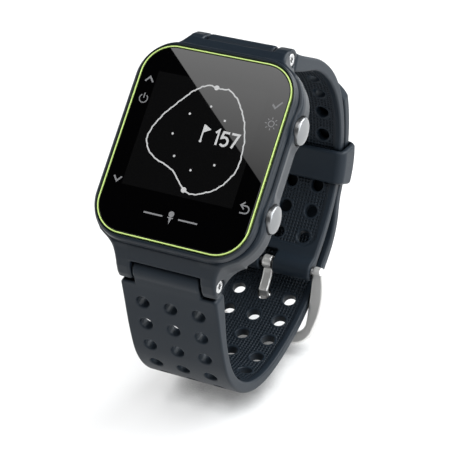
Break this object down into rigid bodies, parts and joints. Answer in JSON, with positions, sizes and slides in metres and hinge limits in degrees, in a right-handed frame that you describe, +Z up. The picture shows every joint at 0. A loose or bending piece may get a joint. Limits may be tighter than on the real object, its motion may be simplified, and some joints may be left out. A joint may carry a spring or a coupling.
{
  "type": "golf gps watch",
  "caption": "Wrist watch with a rounded rectangular dial, four side push buttons and a perforated rubber strap closed on a pin buckle.",
  "frame": {"origin": "centre of the bounding box at floor level, with the closed watch standing on its strap", "axes": "+Z up; +X towards 3 o'clock; the dial faces -Y and up, 46 degrees from level, with 12 o'clock towards +Y and +Z"},
  "size_m": [0.0402, 0.0765, 0.0832],
  "materials": {
    "case_plastic": "fine-grained satin moulding, dark slate blue",
    "strap_rubber": "soft-touch matte, dark slate blue",
    "accent_lime": "thin painted accent line",
    "lens_glass": "polished, black printed border on the underside",
    "adhesive": "black adhesive film",
    "seal_rubber": "smooth moulded seal",
    "button_metal": "satin, bead-blasted",
    "clip_steel": "stamped spring steel",
    "spring_steel": "drawn wire",
    "screw_steel": "plain machined",
    "buckle_steel": "brushed faces, polished edges",
    "display_black": "liquid-crystal panel, dark when idle",
    "tray_plastic": "black glass-filled moulding",
    "flex_polyimide": "amber flexible circuit",
    "connector_plastic": "ivory moulding",
    "board_green": "solder mask with black packages",
    "switch_body": "pressed shell",
    "battery_foil": "pouch foil",
    "antenna_ceramic": "plated ceramic block",
    "motor_metal": "drawn can",
    "tungsten": "sintered tungsten weight",
    "contact_gold": "gold plated"
  },
  "bodies": {
    "watch": {"accent_ring": "accent_lime", "back_cover": "case_plastic", "back_screws": "screw_steel", "back_seal": "seal_rubber", "battery": "battery_foil", "battery_tabs": "flex_polyimide", "bezel": "case_plastic", "board_screws": "screw_steel", "buckle_spring_bar": "buckle_steel", "button_orings": "seal_rubber", "case_shell": "case_plastic", "charging_contacts": "contact_gold", "display_flex": "flex_polyimide", "display_panel": "display_black", "display_tray": "tray_plastic", "flex_connector": "connector_plastic", "gps_antenna": "antenna_ceramic", "inner_chassis": "tray_plastic", "lens": "lens_glass", "lens_adhesive": "adhesive", "lug_screws": "screw_steel", "lug_tube_12": "screw_steel", "lug_tube_6": "screw_steel", "main_board": "board_green", "motor_can": "motor_metal", "side_switches": "switch_body", "strap_lower": "strap_rubber", "strap_upper": "strap_rubber"},
    "button_up": {"button_up": "button_metal", "button_up_clip": "clip_steel", "button_up_spring": "spring_steel"},
    "button_down": {"button_down": "button_metal", "button_down_clip": "clip_steel", "button_down_spring": "spring_steel"},
    "button_ok": {"button_ok": "button_metal", "button_ok_clip": "clip_steel", "button_ok_spring": "spring_steel"},
    "button_back": {"button_back": "button_metal", "button_back_clip": "clip_steel", "button_back_spring": "spring_steel"},
    "keeper": {"keeper_loop": "strap_rubber"},
    "buckle_frame": {"buckle_frame": "buckle_steel"},
    "buckle_tang": {"buckle_tang": "buckle_steel"},
    "motor_rotor": {"motor_weight": "tungsten", "motor_shaft": "motor_metal"}
  },
  "joints": [
    {"name": "press_up", "type": "slide", "parent": "watch", "child": "button_up", "axis": [1, 0, 0], "range_m": [0, 0.0007], "deforming": ["button_up_spring"]},
    {"name": "press_down", "type": "slide", "parent": "watch", "child": "button_down", "axis": [1, 0, 0], "range_m": [0, 0.0007], "deforming": ["button_down_spring"]},
    {"name": "press_ok", "type": "slide", "parent": "watch", "child": "button_ok", "axis": [-1, 0, 0], "range_m": [0, 0.0007], "deforming": ["button_ok_spring"]},
    {"name": "press_back", "type": "slide", "parent": "watch", "child": "button_back", "axis": [-1, 0, 0], "range_m": [0, 0.0007], "deforming": ["button_back_spring"]},
    {"name": "keeper_slide", "type": "hinge", "parent": "watch", "child": "keeper", "pos_m": [0, 0.00502, 0.04699], "axis": [1, 0, 0], "range_deg": [-3, 40]},
    {"name": "buckle_frame_hinge", "type": "hinge", "parent": "watch", "child": "buckle_frame", "pos_m": [0, 0.01578, 0.01969], "axis": [1, 0, 0], "range_deg": [-10, 2]},
    {"name": "buckle_tang_hinge", "type": "hinge", "parent": "watch", "child": "buckle_tang", "pos_m": [0, 0.01578, 0.01969], "axis": [1, 0, 0], "range_deg": [-1, 3]},
    {"name": "motor_spin", "type": "hinge", "parent": "watch", "child": "motor_rotor", "pos_m": [0, -0.02852, 0.05177], "axis": [1, 0, 0], "continuous": true}
  ]
}
